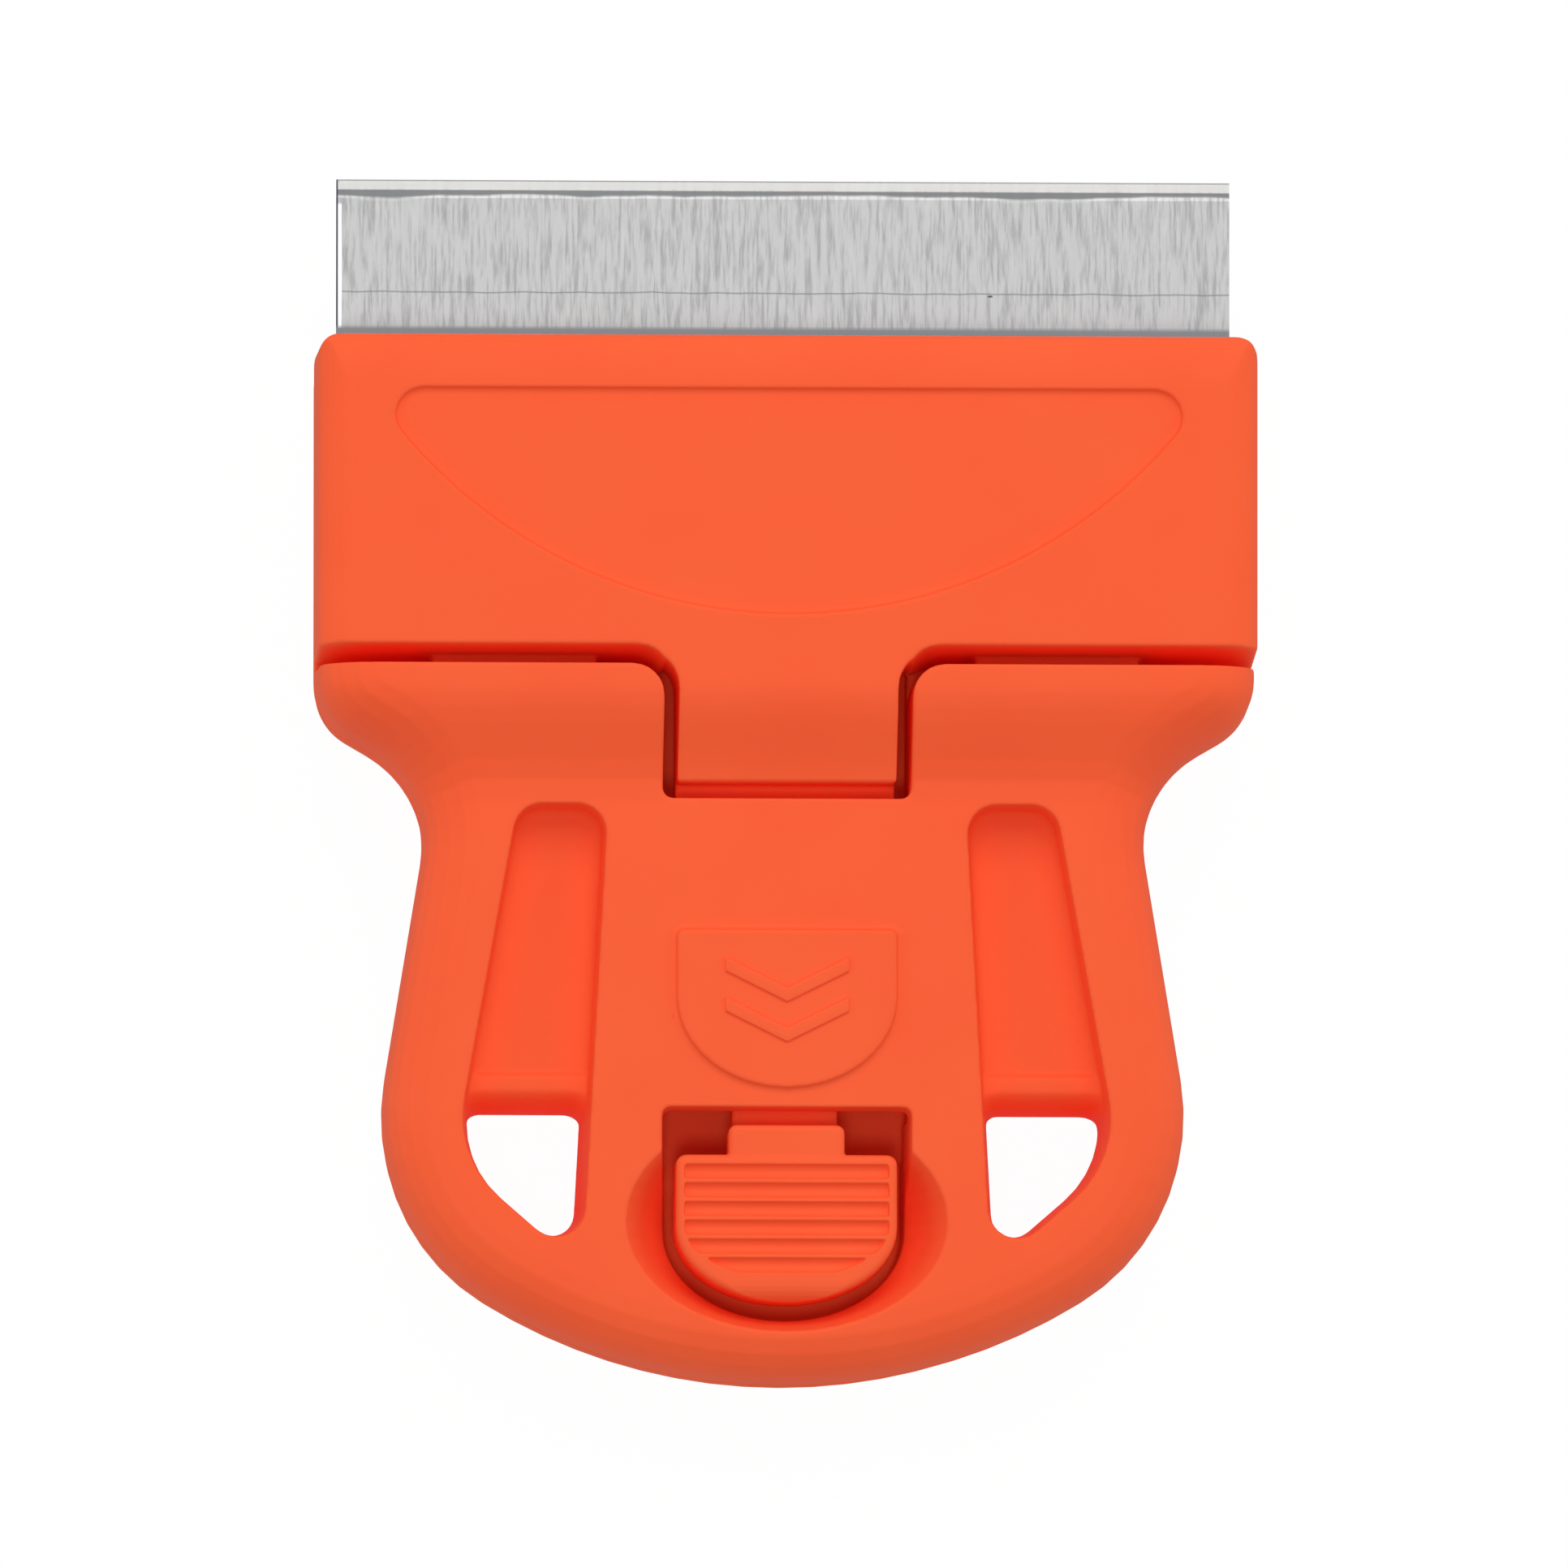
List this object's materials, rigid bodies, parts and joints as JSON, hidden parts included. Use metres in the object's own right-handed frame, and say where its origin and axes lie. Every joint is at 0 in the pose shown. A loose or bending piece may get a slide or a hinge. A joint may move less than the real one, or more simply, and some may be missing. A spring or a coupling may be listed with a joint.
{
  "type": "razor blade scraper",
  "caption": "Pocket scraper with a moulded two-shell handle, a rocking clamp jaw opened by a grooved press button, and a wide single-edge blade.",
  "frame": {"origin": "centre of the bounding box at the back face the scraper lies on", "axes": "+X across the blade, +Y from the tail to the cutting edge, +Z out of the front face"},
  "size_m": [0.041, 0.0527, 0.012],
  "materials": {
    "shell_plastic": "satin moulded orange plastic",
    "jaw_plastic": "satin moulded orange plastic",
    "pin_steel": "drawn steel wire",
    "spring_steel": "drawn spring wire",
    "blade_steel": "ground steel with fine streaks across the edge and a honed edge",
    "spine_steel": "folded rolled steel strip"
  },
  "bodies": {
    "handle": {"rear_shell": "shell_plastic", "front_shell": "shell_plastic", "hinge_pin": "pin_steel", "return_spring": "spring_steel", "razor_blade": "blade_steel", "blade_spine": "spine_steel"},
    "clamp": {"clamp_jaw": "jaw_plastic", "press_button": "jaw_plastic"}
  },
  "joints": [
    {"name": "clamp_open", "type": "hinge", "parent": "handle", "child": "clamp", "pos_m": [0, 0.0036, 0.0055], "axis": [1, 0, 0], "range_deg": [0, 5], "stiffness_Nm_per_rad": 0.1, "springref_deg": -22.92, "deforming": ["return_spring"]}
  ]
}
